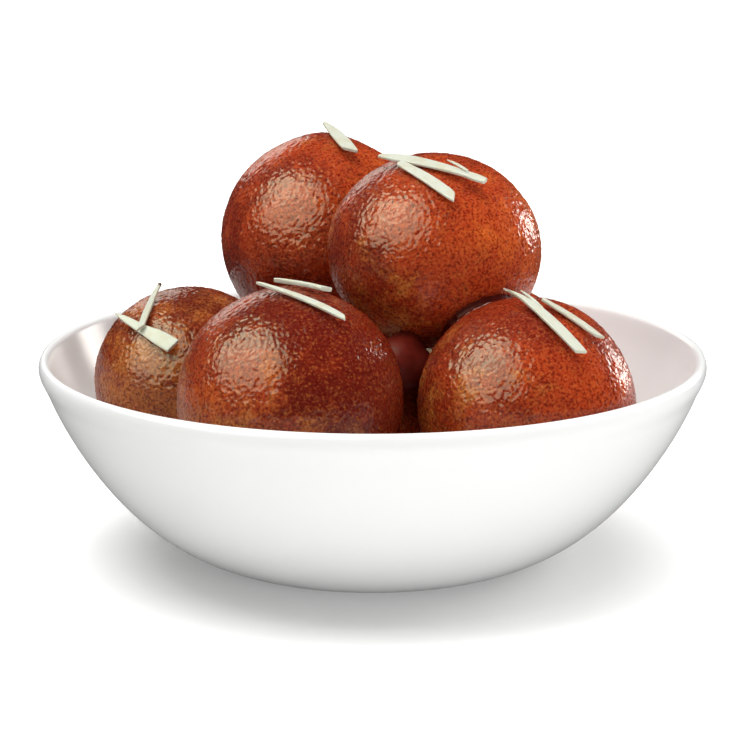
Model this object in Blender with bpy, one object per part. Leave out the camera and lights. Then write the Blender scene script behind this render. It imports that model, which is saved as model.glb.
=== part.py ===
# A round white bowl holding a heap of gulab jamun (syrup-soaked milk dumplings) with almond slivers
# on top. Metres, +Z up. The origin is the centre of the bowl's foot, on the surface it stands on.

import math

import bmesh
import bpy
from mathutils import Matrix, Vector

# The bowl: a thin rounded lip over a wall that curves all the way in to a flat foot.
RIM_RADIUS = 0.070
RIM_HEIGHT = 0.0436
LIP_RADIUS = 0.0011
FOOT_RADIUS = 0.026
FOOT_RING_WIDTH = 0.0045
FOOT_RECESS = 0.0012
CURVE_START = 1.264
CURVE_SPREAD = 0.496
WALL_AT_RIM = 0.0022
WALL_AT_FLOOR = 0.0042
BOWL_SEGMENTS = 64
WALL_STEPS = 11
LIP_STEPS = 4

# What touches keeps this much air to its neighbour.
GAP = 0.0003

# Every ball has its centre, its half-sizes along X, Y and Z, how strongly its outline wanders
# as a share of its radius, and the phase of that wander, so that no two are alike. A swelling is
# a local rise, or a hollow where its height is below zero, and its spread is in degrees.
BALLS = {
    "jamun_left": {
        "centre": (-0.0385, -0.0005, 0.0371),
        "half_size": (0.0203, 0.0204, 0.0201),
        "wander": 0.010,
        "phase": 0.4,
    },
    "jamun_front_left": {
        "centre": (-0.0163, -0.0386, 0.0427),
        "half_size": (0.0226, 0.0224, 0.0224),
        "wander": 0.007,
        "phase": 1.7,
    },
    "jamun_right": {
        "centre": (0.0308, -0.0315, 0.0396),
        "half_size": (0.0221, 0.0220, 0.0218),
        "wander": 0.008,
        "phase": 2.9,
    },
    "jamun_top_left": {
        "centre": (-0.0098, 0.0309, 0.0618),
        "half_size": (0.0236, 0.0233, 0.0232),
        "wander": 0.007,
        "phase": 4.3,
        "swellings": (
            {"azimuth": -120.0, "elevation": 84.0, "height": 0.0009, "spread": 14.0},
            {"azimuth": 24.0, "elevation": 58.0, "height": -0.0013, "spread": 20.0},
        ),
    },
    "jamun_top_right": {
        "centre": (0.0128, -0.0056, 0.0662),
        "half_size": (0.0224, 0.0222, 0.0202),
        "wander": 0.007,
        "phase": 5.6,
    },
    "jamun_centre": {
        "centre": (0.0026, -0.0070, 0.0258),
        "half_size": (0.0198, 0.0198, 0.0196),
        "wander": 0.008,
        "phase": 0.9,
    },
    "jamun_back_left": {
        "centre": (-0.0148, 0.0261, 0.0218),
        "half_size": (0.0196, 0.0196, 0.0192),
        "wander": 0.008,
        "phase": 3.5,
    },
    "jamun_back_right": {
        "centre": (0.0237, 0.0264, 0.0322),
        "half_size": (0.0219, 0.0219, 0.0215),
        "wander": 0.008,
        "phase": 5.0,
    },
}
BURIED_BALLS = ("jamun_centre", "jamun_back_left", "jamun_back_right")
SHOWN_BALL_RINGS = 14
BURIED_BALL_RINGS = 10
SETTLE_ROUNDS = 8

# Almond slivers lie tangent to the ball they rest on. The azimuth and elevation, in degrees, say
# where on the ball the middle of the sliver touches, and the heading is the compass direction of
# its far end seen from above. The lift is how far another sliver holds its middle off the skin.
SLIVERS = {
    "almond_left_blade": {
        "ball": "jamun_left", "azimuth": -120.0, "elevation": 42.0, "heading": -43.0,
        "length": 0.0200, "widths": (0.0007, 0.0026), "thickness": 0.0007, "lift": 0.0,
    },
    "almond_left_upright": {
        "ball": "jamun_left", "azimuth": -135.0, "elevation": 59.0, "heading": -103.0,
        "length": 0.0148, "widths": (0.0008, 0.0011), "thickness": 0.0007, "lift": 0.0001,
    },
    "almond_front_long": {
        "ball": "jamun_front_left", "azimuth": -69.0, "elevation": 73.0, "heading": -30.0,
        "length": 0.0204, "widths": (0.0006, 0.0013), "thickness": 0.0007, "lift": 0.0,
    },
    "almond_front_short": {
        "ball": "jamun_front_left", "azimuth": 30.0, "elevation": 84.0, "heading": -30.0,
        "length": 0.0120, "widths": (0.0009, 0.0012), "thickness": 0.0010, "lift": 0.0,
    },
    "almond_top_left": {
        "ball": "jamun_top_left", "azimuth": -62.0, "elevation": 79.0, "heading": -71.0,
        "length": 0.0180, "widths": (0.0009, 0.0019), "thickness": 0.0007, "lift": 0.0,
    },
    "almond_top_right_low": {
        "ball": "jamun_top_right", "azimuth": -99.0, "elevation": 53.5, "heading": -44.0,
        "length": 0.0160, "widths": (0.0012, 0.0016), "thickness": 0.0007, "lift": 0.0,
    },
    "almond_top_right_high": {
        "ball": "jamun_top_right", "azimuth": -94.0, "elevation": 66.0, "heading": -27.0,
        "length": 0.0238, "widths": (0.0012, 0.0015), "thickness": 0.0008, "lift": 0.0,
    },
    "almond_right_low": {
        "ball": "jamun_right", "azimuth": -41.0, "elevation": 61.0, "heading": -26.0,
        "length": 0.0138, "widths": (0.0010, 0.0013), "thickness": 0.0007, "lift": 0.0,
    },
    "almond_right_forked": {
        "ball": "jamun_right", "azimuth": -72.0, "elevation": 63.0, "heading": -51.0,
        "length": 0.0224, "widths": (0.0007, 0.0018), "thickness": 0.0008, "lift": 0.0003,
    },
}
SLIVER_STEPS = 4

COLOURS = {
    "porcelain": {"colour": (0.86, 0.87, 0.86), "roughness": 0.12},
    "syrup_skin": {"colour": (0.30, 0.055, 0.012), "roughness": 0.22},
    "almond": {"colour": (0.87, 0.84, 0.70), "roughness": 0.45},
}


def clear_scene():
    for old in list(bpy.data.objects):
        bpy.data.objects.remove(old, do_unlink=True)


def make_material(name):
    look = COLOURS[name]
    material = bpy.data.materials.new(name)
    material.use_nodes = True
    shader = material.node_tree.nodes["Principled BSDF"]
    shader.inputs["Base Color"].default_value = (*look["colour"], 1.0)
    shader.inputs["Roughness"].default_value = look["roughness"]
    shader.inputs["Metallic"].default_value = 0.0
    return material


def add_object(name, mesh, material, parent, location=(0.0, 0.0, 0.0)):
    mesh.materials.append(material)
    thing = bpy.data.objects.new(name, mesh)
    bpy.context.scene.collection.objects.link(thing)
    thing.location = location
    thing.parent = parent
    return thing


# The outer wall as (radius, height) pairs from the foot up to the lip.
def outer_wall():
    points = []
    for step in range(WALL_STEPS + 1):
        up = (step / WALL_STEPS) ** 1.5
        spread = (1.0 - (1.0 - up) ** CURVE_START) ** CURVE_SPREAD
        radius = FOOT_RADIUS + (RIM_RADIUS - FOOT_RADIUS) * spread
        points.append(Vector((radius, up * (RIM_HEIGHT - LIP_RADIUS))))
    return points


# The inner wall, set in from the outer one by the wall's thickness, from the lip down to the floor.
def inner_wall():
    outer = outer_wall()
    points = []
    for index in range(len(outer) - 1, -1, -1):
        before = outer[max(index - 1, 0)]
        after = outer[min(index + 1, len(outer) - 1)]
        along = (after - before).normalized()
        inward = Vector((-along.y, along.x))
        up = outer[index].y / RIM_HEIGHT
        thickness = WALL_AT_FLOOR + (WALL_AT_RIM - WALL_AT_FLOOR) * math.sqrt(up)
        points.append(outer[index] + inward * thickness)
    points[0].y = RIM_HEIGHT - LIP_RADIUS
    floor = WALL_AT_FLOOR
    return [point for point in points if point.y > floor] + [Vector((FOOT_RADIUS * 0.8, floor))]


def lip(outer_top, inner_top):
    middle = (outer_top + inner_top) / 2.0
    half_width = (outer_top.x - inner_top.x) / 2.0
    points = []
    for step in range(1, LIP_STEPS):
        angle = math.pi * step / LIP_STEPS
        across = middle.x + half_width * math.cos(angle)
        points.append(Vector((across, middle.y + LIP_RADIUS * math.sin(angle))))
    return points


def bowl_profile():
    ring_inner = FOOT_RADIUS - FOOT_RING_WIDTH
    outer = outer_wall()
    inner = inner_wall()
    underside = [Vector((ring_inner - FOOT_RECESS, FOOT_RECESS)), Vector((ring_inner, 0.0))]
    return underside + outer + lip(outer[-1], inner[0]) + inner


def bowl_mesh():
    shape = bmesh.new()
    profile = bowl_profile()
    rings = []
    for point in profile:
        ring = []
        for step in range(BOWL_SEGMENTS):
            turn = 2.0 * math.pi * step / BOWL_SEGMENTS
            place = (point.x * math.cos(turn), point.x * math.sin(turn), point.y)
            ring.append(shape.verts.new(place))
        rings.append(ring)
    for low, high in zip(rings, rings[1:]):
        for step in range(BOWL_SEGMENTS):
            after = (step + 1) % BOWL_SEGMENTS
            shape.faces.new((low[step], low[after], high[after], high[step]))
    shape.faces.new(list(reversed(rings[0])))
    shape.faces.new(rings[-1])
    bmesh.ops.recalc_face_normals(shape, faces=shape.faces)
    mesh = bpy.data.meshes.new("bowl")
    shape.to_mesh(mesh)
    shape.free()
    mesh.shade_smooth()
    mesh.set_sharp_from_angle(angle=math.radians(35.0))
    return mesh


def direction_of(azimuth, elevation):
    turn = math.radians(azimuth)
    rise = math.radians(elevation)
    return Vector((math.cos(turn) * math.cos(rise), math.sin(turn) * math.cos(rise), math.sin(rise)))


# The distance from a ball's centre to its plain ellipsoid in one direction.
def plain_reach(ball, way):
    half = ball["half_size"]
    return 1.0 / math.sqrt(sum((way[axis] / half[axis]) ** 2 for axis in range(3)))


# The same with the hand-rolled ball's low, wide unevenness and its swellings, if it has any.
def reach(ball, way):
    phase = ball["phase"]
    wave = math.sin(2.1 * way.x * math.pi + phase) * math.cos(1.7 * way.y * math.pi - phase)
    wave += 0.6 * math.sin(2.9 * way.z * math.pi + 2.0 * phase + way.x)
    length = plain_reach(ball, way) * (1.0 + ball["wander"] * wave)
    for swelling in ball.get("swellings", ()):
        away = way.angle(direction_of(swelling["azimuth"], swelling["elevation"]))
        length += swelling["height"] * math.exp(-(away / math.radians(swelling["spread"])) ** 2)
    return length


# The plane halfway through the overlap of two balls, as a point and the way to the neighbour.
def shared_plane(ball, other):
    apart = Vector(other["centre"]) - Vector(ball["centre"])
    way = apart.normalized()
    own_reach = plain_reach(ball, way)
    other_reach = plain_reach(other, way)
    along = (apart.length + own_reach - other_reach) / 2.0
    return Vector(ball["centre"]) + way * along, way


# How far a point is inside the bowl's wall surface, and the way back to the hollow.
def wall_clearance(place, wall):
    radius = math.hypot(place.x, place.y)
    point = Vector((radius, place.z))
    best = None
    for start, end in zip(wall, wall[1:]):
        along = end - start
        share = max(0.0, min(1.0, (point - start).dot(along) / along.length_squared))
        nearest = start + along * share
        away = (point - nearest).length
        if best is None or away < best[0]:
            normal = Vector((along.y, -along.x)).normalized()
            side = (point - nearest).dot(normal)
            best = (away, math.copysign(away, side), normal)
    outward = Vector((place.x, place.y, 0.0)).normalized()
    way = outward * best[2].x + Vector((0.0, 0.0, best[2].y))
    return best[1], way


# The balls are soft, so each is pressed flat where it leans on a neighbour or on the bowl.
def settle(place, planes, wall):
    for _ in range(SETTLE_ROUNDS):
        if place.z < RIM_HEIGHT:
            clearance, way = wall_clearance(place, wall)
            if clearance < GAP:
                place = place + way * (GAP - clearance)
        for origin, way in planes:
            past = (place - origin).dot(way) + GAP / 2.0
            if past > 0.0:
                place = place - way * past
    return place


def ball_mesh(name, wall):
    ball = BALLS[name]
    planes = [shared_plane(ball, other) for key, other in BALLS.items() if key != name]
    rings = BURIED_BALL_RINGS if name in BURIED_BALLS else SHOWN_BALL_RINGS
    centre = Vector(ball["centre"])
    shape = bmesh.new()
    bmesh.ops.create_uvsphere(shape, u_segments=2 * rings, v_segments=rings, radius=1.0)
    for vertex in shape.verts:
        way = vertex.co.normalized()
        place = settle(centre + way * reach(ball, way), planes, wall)
        vertex.co = place - centre
    bmesh.ops.recalc_face_normals(shape, faces=shape.faces)
    mesh = bpy.data.meshes.new(name)
    shape.to_mesh(mesh)
    shape.free()
    mesh.shade_smooth()
    return mesh


# A flat tapering stick in its own frame: X along its length, Z away from the ball.
def sliver_mesh(name):
    sliver = SLIVERS[name]
    start_width, end_width = sliver["widths"]
    half_thickness = sliver["thickness"] / 2.0
    shape = bmesh.new()
    stations = []
    for step in range(SLIVER_STEPS + 1):
        along = step / SLIVER_STEPS
        half_width = (start_width + (end_width - start_width) * along) / 2.0
        middle = (along - 0.5) * sliver["length"]
        corners = ((-1, -1), (1, -1), (1, 1), (-1, 1))
        station = []
        for side, top in corners:
            place = (middle, side * half_width, top * half_thickness)
            station.append(shape.verts.new(place))
        stations.append(station)
    for near, far in zip(stations, stations[1:]):
        for corner in range(4):
            after = (corner + 1) % 4
            shape.faces.new((near[corner], far[corner], far[after], near[after]))
    shape.faces.new(stations[0])
    shape.faces.new(list(reversed(stations[-1])))
    bmesh.ops.recalc_face_normals(shape, faces=shape.faces)
    mesh = bpy.data.meshes.new(name)
    shape.to_mesh(mesh)
    shape.free()
    return mesh


def place_sliver(thing, sliver):
    ball = BALLS[sliver["ball"]]
    way = direction_of(sliver["azimuth"], sliver["elevation"])
    lift = GAP + sliver["thickness"] / 2.0 + sliver["lift"]
    touch = Vector(ball["centre"]) + way * reach(ball, way)
    half = ball["half_size"]
    normal = Vector([way[axis] / half[axis] ** 2 for axis in range(3)]).normalized()
    compass = direction_of(sliver["heading"], 0.0)
    drop = compass.dot(normal) / normal.z
    along = Vector((compass.x, compass.y, -drop)).normalized()
    axes = Matrix((along, normal.cross(along), normal)).transposed()
    thing.rotation_mode = "QUATERNION"
    thing.rotation_quaternion = axes.to_quaternion()
    thing.location = touch + normal * lift


def build():
    clear_scene()
    materials = {name: make_material(name) for name in COLOURS}
    whole = bpy.data.objects.new("bowl_of_gulab_jamun", None)
    bpy.context.scene.collection.objects.link(whole)
    add_object("bowl", bowl_mesh(), materials["porcelain"], whole)
    wall = inner_wall()
    for name, ball in BALLS.items():
        add_object(name, ball_mesh(name, wall), materials["syrup_skin"], whole, ball["centre"])
    for name, sliver in SLIVERS.items():
        thing = add_object(name, sliver_mesh(name), materials["almond"], whole)
        place_sliver(thing, sliver)


build()
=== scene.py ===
import itertools
import math

import bmesh
import bpy
import numpy as np
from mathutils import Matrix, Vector, noise
from mathutils.bvhtree import BVHTree


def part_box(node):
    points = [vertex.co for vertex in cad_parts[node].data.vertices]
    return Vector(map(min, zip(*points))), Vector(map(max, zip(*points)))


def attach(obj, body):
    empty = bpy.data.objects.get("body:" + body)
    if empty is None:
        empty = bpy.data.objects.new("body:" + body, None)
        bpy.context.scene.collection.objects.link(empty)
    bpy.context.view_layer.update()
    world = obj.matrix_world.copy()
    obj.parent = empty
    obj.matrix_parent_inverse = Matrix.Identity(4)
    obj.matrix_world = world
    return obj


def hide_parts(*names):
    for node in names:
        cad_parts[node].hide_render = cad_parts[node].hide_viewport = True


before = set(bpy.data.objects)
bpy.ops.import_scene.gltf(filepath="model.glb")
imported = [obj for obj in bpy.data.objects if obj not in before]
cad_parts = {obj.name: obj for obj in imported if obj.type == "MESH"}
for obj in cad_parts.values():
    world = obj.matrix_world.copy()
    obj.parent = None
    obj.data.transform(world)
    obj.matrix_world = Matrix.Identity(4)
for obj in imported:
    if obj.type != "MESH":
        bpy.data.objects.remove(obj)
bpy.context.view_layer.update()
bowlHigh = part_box("bowl")[1]
rimHeight = bowlHigh.z
rimRadius = bowlHigh.x
mm = 0.001
shownBalls = ("jamun_left", "jamun_front_left", "jamun_right", "jamun_top_left", "jamun_top_right")
buriedBalls = ("jamun_centre", "jamun_back_left", "jamun_back_right")
slivers = sorted(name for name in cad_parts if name.startswith("almond"))


# Each input is linked to a socket or set to a value; a colour is three numbers.
def setInputs(node, values):
    for label, source in values.items():
        target = node.inputs[label]
        if isinstance(source, bpy.types.NodeSocket):
            node.id_data.links.new(source, target)
        else:
            target.default_value = (*source, 1.0) if target.type == "RGBA" else source


def addNode(tree, kind, inputs=None, **settings):
    node = tree.nodes.new(kind)
    for name, value in settings.items():
        setattr(node, name, value)
    setInputs(node, inputs or {})
    return node


def placeNode(tree):
    return addNode(tree, "ShaderNodeTexCoord").outputs["Object"]


def mathNode(tree, operation, *values, clamp=False):
    node = addNode(tree, "ShaderNodeMath", dict(enumerate(values)), operation=operation, use_clamp=clamp)
    return node.outputs[0]


def vectorNode(tree, operation, first, second=None):
    links = {0: first}
    if second is not None:
        links["Scale" if operation == "SCALE" else 1] = second
    node = addNode(tree, "ShaderNodeVectorMath", links, operation=operation)
    return node.outputs["Value" if operation in ("LENGTH", "DOT_PRODUCT", "DISTANCE") else "Vector"]


def rampNode(tree, value, ends, colours):
    node = addNode(tree, "ShaderNodeValToRGB", {0: value})
    ramp = node.color_ramp
    ramp.interpolation = "EASE"
    for element, place, colour in zip(ramp.elements, ends, colours):
        element.position = place
        element.color = (*colour, 1.0)
    return node.outputs[0]


# A mask that goes from one grey to another between two values.
def fadeNode(tree, value, ends, first=0.0, last=1.0):
    return rampNode(tree, value, ends, ((first,) * 3, (last,) * 3))


def noiseNode(tree, where, scale, detail=2.0, roughness=0.5, distortion=0.0):
    return addNode(tree, "ShaderNodeTexNoise", {
        "Vector": where, "Scale": scale, "Detail": detail,
        "Roughness": roughness, "Distortion": distortion}).outputs[0]


def bumpNode(tree, height, distance, strength=1.0):
    return addNode(tree, "ShaderNodeBump", {
        "Height": height, "Strength": strength, "Distance": distance}).outputs[0]


def mixColour(tree, factor, first, second):
    return addNode(tree, "ShaderNodeMix", {0: factor, 6: first, 7: second}, data_type="RGBA").outputs[2]


def newMaterial(name):
    material = bpy.data.materials.new(name)
    material.use_nodes = True
    return material, material.node_tree, material.node_tree.nodes["Principled BSDF"]


# A node group and its two ends; an input is its label, its kind and perhaps its usual value.
def newGroup(name, kind, inputs, outputs):
    group = bpy.data.node_groups.new(name, kind)
    for label, socketKind, *usual in inputs:
        socket = group.interface.new_socket(name=label, in_out="INPUT", socket_type="NodeSocket" + socketKind)
        if usual:
            socket.default_value = usual[0]
    for label, socketKind in outputs:
        group.interface.new_socket(name=label, in_out="OUTPUT", socket_type="NodeSocket" + socketKind)
    return group, group.nodes.new("NodeGroupInput"), group.nodes.new("NodeGroupOutput")


# A shape's tree ends in real geometry with its material on it.
def finishTree(tree, geometry, come, go):
    real = addNode(tree, "GeometryNodeRealizeInstances", {"Geometry": geometry})
    painted = addNode(tree, "GeometryNodeSetMaterial", {
        "Geometry": real.outputs[0], "Material": come.outputs["Material"]})
    setInputs(go, {"Geometry": painted.outputs[0]})
    return tree


# A mesh piece comes out of its Geometry Nodes tree as a plain mesh, in place.
def bakeNodes(name, group, settings, material):
    piece = bpy.data.objects.new(name, bpy.data.meshes.new(name))
    bpy.context.scene.collection.objects.link(piece)
    modifier = piece.modifiers.new("shape", "NODES")
    modifier.node_group = group
    sockets = {item.name: item.identifier for item in group.interface.items_tree if item.in_out == "INPUT"}
    for label, value in settings.items():
        modifier[sockets[label]] = value
    modifier[sockets["Material"]] = material
    bpy.context.view_layer.update()
    graph = bpy.context.evaluated_depsgraph_get()
    shaped = piece.evaluated_get(graph)
    mesh = bpy.data.meshes.new_from_object(shaped, preserve_all_data_layers=True, depsgraph=graph)
    piece.modifiers.remove(modifier)
    piece.data = mesh
    mesh.name = name
    return piece


# Faces between two closed rows of points.
def joinRows(shell, row, following):
    for k in range(len(row)):
        n = (k + 1) % len(row)
        shell.faces.new((row[k], row[n], following[n], following[k]))


def meshObject(name, shell, material):
    bmesh.ops.recalc_face_normals(shell, faces=shell.faces)
    mesh = bpy.data.meshes.new(name)
    shell.to_mesh(mesh)
    shell.free()
    mesh.materials.append(material)
    piece = bpy.data.objects.new(name, mesh)
    bpy.context.scene.collection.objects.link(piece)
    return piece


def finishPiece(piece, slotName, *nodes):
    piece.data.shade_smooth()
    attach(piece, "root")
    if nodes:
        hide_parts(*nodes)
    return piece


view = {
    "distance": 0.600,
    "elevation": 13.0,
    "lens": 136.5,
    "sensorWidth": 36.0,
    "clip": (0.02, 50.0),
    "aimDrop": 0.0051,      # the camera aims this far under the rim's middle
    "aimSide": 0.0005,      # and this far to the right of it
}

studio = {
    "floorSize": 9.0,
    "floorColour": (0.80, 0.80, 0.795),
    "floorRoughness": 0.9,
    "floorShine": 0.1,
    "floorGlow": 0.13,
    "floorFarGlow": 0.85,       # the paper stays white where the lamps don't reach
    "farFade": (0.2, 1.4),      # the first glow grows to the second between these distances
    "paperWhite": 0.34,         # how far the paper around the bowl's own shadow is over-exposed
    "whiteFade": (0.046, 0.078),
    "roomLight": 0.16,          # what the room sends to a dull surface
    "roomGlints": 0.03,         # what a shiny surface sees of the room between the lamps
    "plainLight": (1.0, 0.995, 0.985),
    # azimuth and elevation say where a lamp stands as seen from the bowl, in degrees
    "lamps": {
        "keySoftbox": {"azimuth": 192.0, "elevation": 51.0, "distance": 0.60, "size": (0.36, 0.32),
                       "power": 1.2, "colour": (0.81, 0.92, 0.68), "dull": False},
        "keyHalo": {"azimuth": 213.0, "elevation": 44.0, "distance": 0.62, "size": (0.88, 0.76),
                    "power": 7.4, "colour": (0.82, 0.92, 0.68), "dull": False},
        "sideSoftbox": {"azimuth": 40.0, "elevation": 9.0, "distance": 0.90, "size": (0.24, 0.30),
                        "power": 1.9, "colour": (1.0, 0.96, 0.90), "dull": False},
        "backPanel": {"azimuth": 112.0, "elevation": 22.0, "distance": 0.90, "size": (0.44, 0.40),
                      "power": 0.75, "colour": (1.0, 0.95, 0.85), "dull": False},
        "frontFill": {"azimuth": -62.0, "elevation": 6.0, "distance": 1.30, "size": (1.00, 0.50),
                      "power": 6.6, "mirror": False},
        "rightFill": {"azimuth": 15.0, "elevation": 32.0, "distance": 1.00, "size": (0.60, 0.60),
                      "power": 3.6, "colour": (1.0, 0.99, 0.97), "mirror": False},
        "leftTopFill": {"azimuth": 192.0, "elevation": 71.0, "distance": 1.10, "size": (0.90, 0.90),
                        "power": 11.4, "mirror": False},
        "backTopFill": {"azimuth": 60.0, "elevation": 76.0, "distance": 1.10, "size": (1.00, 0.90),
                        "power": 5.2, "mirror": False},
    },
}


def directionOf(azimuth, elevation):
    turn, rise = math.radians(azimuth), math.radians(elevation)
    return Vector((math.cos(turn) * math.cos(rise), math.sin(turn) * math.cos(rise), math.sin(rise)))


def makeCamera():
    rise = math.radians(view["elevation"])
    up = Vector((0.0, math.sin(rise), math.cos(rise)))
    rimMiddle = Vector((0.0, 0.0, rimHeight))
    place = rimMiddle + directionOf(-90.0, view["elevation"]) * view["distance"]
    aim = rimMiddle - up * view["aimDrop"] + Vector((view["aimSide"], 0.0, 0.0))
    camera = bpy.data.objects.new("camera", bpy.data.cameras.new("camera"))
    camera.data.lens = view["lens"]
    camera.data.sensor_width = view["sensorWidth"]
    camera.data.clip_start, camera.data.clip_end = view["clip"]
    camera.location = place
    camera.rotation_euler = (aim - place).to_track_quat("-Z", "Y").to_euler()
    bpy.context.scene.collection.objects.link(camera)
    bpy.context.scene.camera = camera


def makeFloor():
    half = studio["floorSize"] / 2.0
    mesh = bpy.data.meshes.new("floor")
    corners = [(-half, -half, 0), (half, -half, 0), (half, half, 0), (-half, half, 0)]
    mesh.from_pydata(corners, [], [(0, 1, 2, 3)])
    material, tree, shader = newMaterial("floorPaper")
    setInputs(shader, {
        "Base Color": studio["floorColour"],
        "Roughness": studio["floorRoughness"],
        "Specular IOR Level": studio["floorShine"],
        "Emission Color": (1.0, 1.0, 1.0),
    })
    far = vectorNode(tree, "LENGTH", placeNode(tree))
    glow, white = [
        addNode(tree, "ShaderNodeMapRange", {
            "Value": far, "From Min": near, "From Max": away, "To Min": least, "To Max": most},
            interpolation_type="SMOOTHSTEP").outputs[0]
        for (near, away), least, most in (
            (studio["farFade"], studio["floorGlow"], studio["floorFarGlow"]),
            (studio["whiteFade"], 0.0, studio["paperWhite"]))]
    seen = addNode(tree, "ShaderNodeLightPath").outputs["Is Camera Ray"]
    setInputs(shader, {"Emission Strength": mathNode(tree, "MULTIPLY_ADD", white, seen, glow)})
    mesh.materials.append(material)
    floor = bpy.data.objects.new("floor", mesh)
    floor.visible_glossy = False
    bpy.context.scene.collection.objects.link(floor)


def makeLamps():
    aim = Vector((0.0, 0.0, rimHeight))
    for name, lamp in studio["lamps"].items():
        light = bpy.data.lights.new(name, "AREA")
        light.shape = "ELLIPSE"
        light.size, light.size_y = lamp["size"]
        light.energy = lamp["power"]
        light.color = lamp.get("colour", studio["plainLight"])
        holder = bpy.data.objects.new(name, light)
        holder.location = aim + directionOf(lamp["azimuth"], lamp["elevation"]) * lamp["distance"]
        holder.rotation_euler = (aim - holder.location).to_track_quat("-Z", "Y").to_euler()
        holder.visible_camera = False
        holder.visible_glossy = lamp.get("mirror", True)
        holder.visible_diffuse = lamp.get("dull", True)
        bpy.context.scene.collection.objects.link(holder)


# A white room that hardly shows in glossy surfaces, so that only the lamps do.
def makeRoom():
    world = bpy.data.worlds.new("room")
    bpy.context.scene.world = world
    world.use_nodes = True
    tree = world.node_tree
    rays = addNode(tree, "ShaderNodeLightPath")
    change = studio["roomGlints"] - studio["roomLight"]
    strength = mathNode(tree, "MULTIPLY_ADD", rays.outputs["Is Glossy Ray"], change, studio["roomLight"])
    setInputs(tree.nodes["Background"], {"Color": (1.0, 1.0, 1.0), "Strength": strength})


makeCamera()
makeFloor()
makeLamps()
makeRoom()
bpy.context.scene.view_settings.view_transform = "Standard"
print("camera, floor and light are set")


bowlMake = {
    "turnSteps": 256,
    "profileSteps": 180,        # along the wall, inside and outside
    "footSteps": 60,            # more of them for the underside and the floor
    "handWobble": 0.00010,      # how far the thrown wall wanders, in metres
    "glaze": (0.863, 0.874, 0.872),
    "glazeWarm": (0.856, 0.863, 0.857),
    "bareClay": (0.66, 0.61, 0.53),
    "bareClayPale": (0.76, 0.72, 0.65),
    "glazeRoughness": 0.16,
    "roughnessSpread": 0.06,
    "bareRoughness": 0.75,
    "footHeight": 0.0006,
    "glazeEdge": (0.35, 0.75),  # the glaze starts between these parts of the foot's height
    "glazeRipple": 0.00002,
    "tintEnds": (0.3, 0.7),     # a noise turns one tint into the other between these values
    # how fine each noise is
    "waverScale": 1.4,
    "firingScale": 38.0,
    "clayScale": 1400.0,
    "softScale": 90.0,
    "rippleScale": 55.0,
    # lengths that tell the frame's points apart
    "weld": 1e-6,
    "seam": 2e-7,
    "cutWidth": 1e-5,
    "underside": 0.003,
    "footShare": 0.36,          # of the rim's radius, just inside the foot ring's outer edge
}


# The frame's bowl cut through its axis: one line of (radius, height) points, from the middle of
# the underside out round the lip and back to the middle of the floor.
def bowlProfile():
    source = bmesh.new()
    source.from_mesh(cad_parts["bowl"].data)
    bmesh.ops.remove_doubles(source, verts=source.verts, dist=bowlMake["weld"])
    ring = [v for v in source.verts if v.co.x > 0.0 and abs(v.co.y) < bowlMake["cutWidth"]]
    follow = [min(ring, key=lambda v: (v.co.z > bowlMake["underside"], v.co.x))]
    while True:
        onward = [e.other_vert(follow[-1]) for e in follow[-1].link_edges]
        onward = [v for v in onward if v in ring and v not in follow]
        if not onward:
            break
        follow.append(onward[0])
    points = [(v.co.x, v.co.z) for v in follow]
    source.free()
    return np.array([(0.0, points[0][1])] + points + [(0.0, points[-1][1])])


# A smooth line through the points, as Hermite pieces over the distance between them.
def smoothLine(points, steps):
    reach = np.concatenate(([0.0], np.cumsum(np.linalg.norm(np.diff(points, axis=0), axis=1))))
    slopes = np.gradient(points, reach, axis=0)
    places = np.linspace(0.0, reach[-1], steps)
    piece = np.clip(np.searchsorted(reach, places, side="right") - 1, 0, len(points) - 2)
    width = (reach[piece + 1] - reach[piece])[:, None]
    t = ((places - reach[piece]) / width[:, 0])[:, None]
    start, end = points[piece], points[piece + 1]
    return ((2 * t**3 - 3 * t**2 + 1) * start + (t**3 - 2 * t**2 + t) * width * slopes[piece]
            + (3 * t**2 - 2 * t**3) * end + (t**3 - t**2) * width * slopes[piece + 1])


def profileCurve():
    points = bowlProfile()
    floorEdge = len(points) - 2
    footEdge = int(np.argmax(points[:, 0] > rimRadius * bowlMake["footShare"]))
    wall = smoothLine(points[footEdge:floorEdge + 1], bowlMake["profileSteps"])
    line = np.vstack((points[:footEdge], wall, points[-1:]))
    curve = bpy.data.curves.new("bowlProfile", "CURVE")
    curve.dimensions = "3D"
    spline = curve.splines.new("POLY")
    spline.points.add(len(line) - 1)
    for point, (radius, height) in zip(spline.points, line):
        point.co = (radius, 0.0, max(height, 0.0), 1.0)
    holder = bpy.data.objects.new("bowlProfile", curve)
    bpy.context.scene.collection.objects.link(holder)
    return holder


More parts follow.
